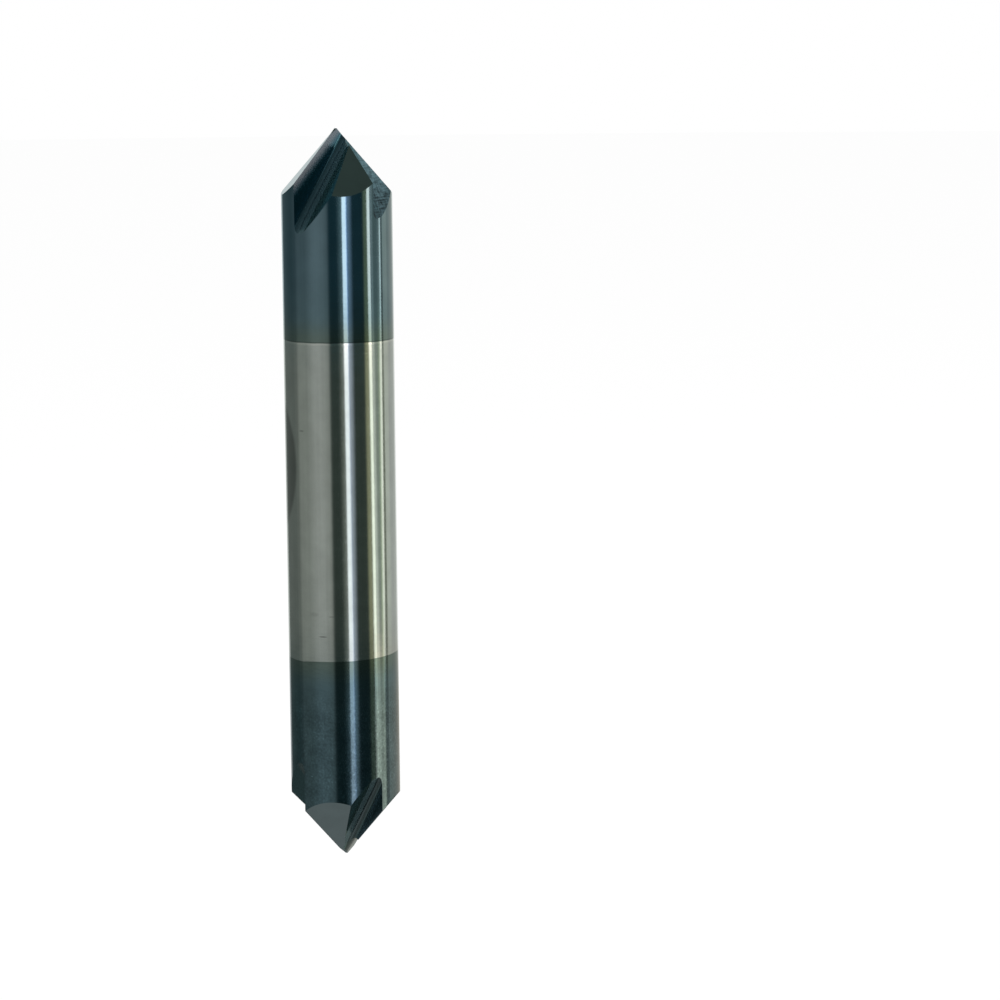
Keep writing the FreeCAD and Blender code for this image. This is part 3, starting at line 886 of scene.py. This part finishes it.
def add_strip(tree, light, azimuth, fall, above, below, strip):
    """The light with that of a soft-edged strip added."""
    _, centre, lean, width, (left, right), colours = strip
    middle = calculate(tree, "MULTIPLY_ADD", fall, lean, centre)
    away = calculate(tree, "SUBTRACT", azimuth, middle)
    away = calculate(tree, "WRAP", away, 180.0, -180.0)
    inside = calculate(
        tree, "MULTIPLY", remap(tree, away, -(width + left) / 2, (left - width) / 2),
        remap(tree, away, (width + right) / 2, (width - right) / 2))
    glow = add_node(
        tree, "ShaderNodeVectorMath",
        {0: by_height(tree, above, below, colours), "Scale": inside}, operation="SCALE")
    return add_node(
        tree, "ShaderNodeVectorMath", {0: light, 1: glow.outputs[0]}, operation="ADD").outputs[0]


def tent_material(stage):
    """Strip lights and panels all round, between a dim top and a dim bottom."""
    material = bpy.data.materials.new("strip lights and panels")
    material.use_nodes = True
    tree = material.node_tree
    tree.nodes.remove(tree.nodes["Principled BSDF"])
    position = add_node(tree, "ShaderNodeTexCoord").outputs["Object"]
    x, y, z = add_node(tree, "ShaderNodeSeparateXYZ", {0: position}).outputs
    turn = calculate(tree, "ARCTAN2", x, calculate(tree, "MULTIPLY", y, -1.0))
    turn = calculate(tree, "SUBTRACT", turn, stage.camera_azimuth)
    azimuth = calculate(tree, "MULTIPLY", turn, math.degrees(1))
    height = calculate(tree, "DIVIDE", z, stage.tent_radius)
    fall = remap(tree, height, *LEAN_BAND, -0.5, 0.5, smooth=False)
    above = remap(tree, height, *TOP_BAND)
    below = remap(tree, height, *BOTTOM_BAND)
    sides = by_height(tree, above, below, ROOM)
    for strip in STRIPS:
        sides = add_strip(tree, sides, azimuth, fall, above, below, strip)
    upper = add_strip(tree, UPPER_ROOM, azimuth, fall, above, below, UPPER_PANEL)
    light = mix_colours(tree, remap(tree, height, *UPPER_ROOM_BAND), sides, upper)
    light = mix_colours(tree, remap(tree, height, *TOP_CAP_BAND), light, TOP_CAP)
    light = mix_colours(tree, remap(tree, height, *LOWER_ROOM_BAND), light, LOWER_ROOM)
    light = mix_colours(tree, remap(tree, height, *BOTTOM_CAP_BAND), light, BOTTOM_CAP)
    glow = add_node(tree, "ShaderNodeEmission", {"Color": light, "Strength": 1.0})
    tree.links.new(glow.outputs[0], tree.nodes["Material Output"].inputs["Surface"])
    return material


def make_tent(stage):
    """A round tent of strip lights and panels that only the metal mirrors."""
    bm = bmesh.new()
    bmesh.ops.create_uvsphere(bm, u_segments=96, v_segments=48, radius=stage.tent_radius)
    bmesh.ops.reverse_faces(bm, faces=bm.faces)
    tent = to_object("tent", bm)
    tent.data.materials.append(tent_material(stage))
    tent.visible_camera = False
    tent.visible_diffuse = False
    tent.visible_shadow = False


def make_lamp(name, place, power):
    """A square soft lamp that looks at the mill's middle."""
    light = bpy.data.lights.new(name, "AREA")
    light.size = LAMP_SIZE
    light.energy = power
    lamp = bpy.data.objects.new(name, light)
    lamp.location = place
    lamp.rotation_euler = (-Vector(place)).to_track_quat("-Z", "Y").to_euler()
    lamp.visible_glossy = False
    bpy.context.scene.collection.objects.link(lamp)


def make_camera(stage):
    """The camera, from where the mill is seen as it stands in its picture."""
    camera = bpy.data.cameras.new("camera")
    camera.sensor_width = SENSOR_WIDTH
    camera.lens = stage.camera_lens
    camera.clip_start = CLIP_START
    holder = bpy.data.objects.new("camera", camera)
    place = (
        Matrix.Rotation(stage.camera_azimuth, 4, "Z")
        @ Matrix.Rotation(math.pi / 2 - stage.camera_height, 4, "X")
        @ Matrix.Translation((0, 0, stage.camera_distance))
    )
    aim = (
        Matrix.Rotation(-stage.camera_pan, 4, "Y")
        @ Matrix.Rotation(stage.camera_tilt, 4, "X")
        @ Matrix.Rotation(stage.camera_roll, 4, "Z")
    )
    holder.matrix_world = place @ aim
    bpy.context.scene.collection.objects.link(holder)
    bpy.context.scene.camera = holder


class CHAMFERMILL_OT_stage(Operator):
    """Set up the floor, the lamps, the tent, the world and the camera"""

    bl_idname = "chamfer_mill.set_stage"
    bl_label = "Stage"

    def execute(self, context):
        stage = context.scene.chamfer_mill_stage
        make_world()
        make_floor(stage)
        make_tent(stage)
        for name, place, power in LAMPS:
            make_lamp(name, place, power)
        make_camera(stage)
        context.scene.view_settings.view_transform = "Standard"
        return {"FINISHED"}


class CHAMFERMILL_PT_panel(Panel):
    """Sizes, finish and stage of the chamfer mill"""

    bl_label = "Chamfer Mill"
    bl_idname = "CHAMFERMILL_PT_panel"
    bl_space_type = "VIEW_3D"
    bl_region_type = "UI"
    bl_category = "Chamfer Mill"

    def draw(self, context):
        parts = (
            (CHAMFERMILL_OT_mill, (context.scene.chamfer_mill, context.scene.chamfer_mill_finish)),
            (CHAMFERMILL_OT_stage, (context.scene.chamfer_mill_stage,)),
        )
        for operator, groups in parts:
            box = self.layout.box()
            for group in groups:
                for name in group.__annotations__:
                    box.prop(group, name)
            box.operator(operator.bl_idname)


CLASSES = (
    MillSettings,
    FinishSettings,
    StageSettings,
    CHAMFERMILL_OT_mill,
    CHAMFERMILL_OT_stage,
    CHAMFERMILL_PT_panel,
)


def register():
    """Register the classes and give the scene its settings."""
    for cls in CLASSES:
        bpy.utils.register_class(cls)
    bpy.types.Scene.chamfer_mill = PointerProperty(type=MillSettings)
    bpy.types.Scene.chamfer_mill_finish = PointerProperty(type=FinishSettings)
    bpy.types.Scene.chamfer_mill_stage = PointerProperty(type=StageSettings)


def unregister():
    """Take the settings and the classes away again."""
    del bpy.types.Scene.chamfer_mill
    del bpy.types.Scene.chamfer_mill_finish
    del bpy.types.Scene.chamfer_mill_stage
    for cls in reversed(CLASSES):
        bpy.utils.unregister_class(cls)


def main():
    """Build the mill and the stage."""
    register()
    bpy.ops.chamfer_mill.build_mill()
    bpy.ops.chamfer_mill.set_stage()


if __name__ == "__main__":
    main()
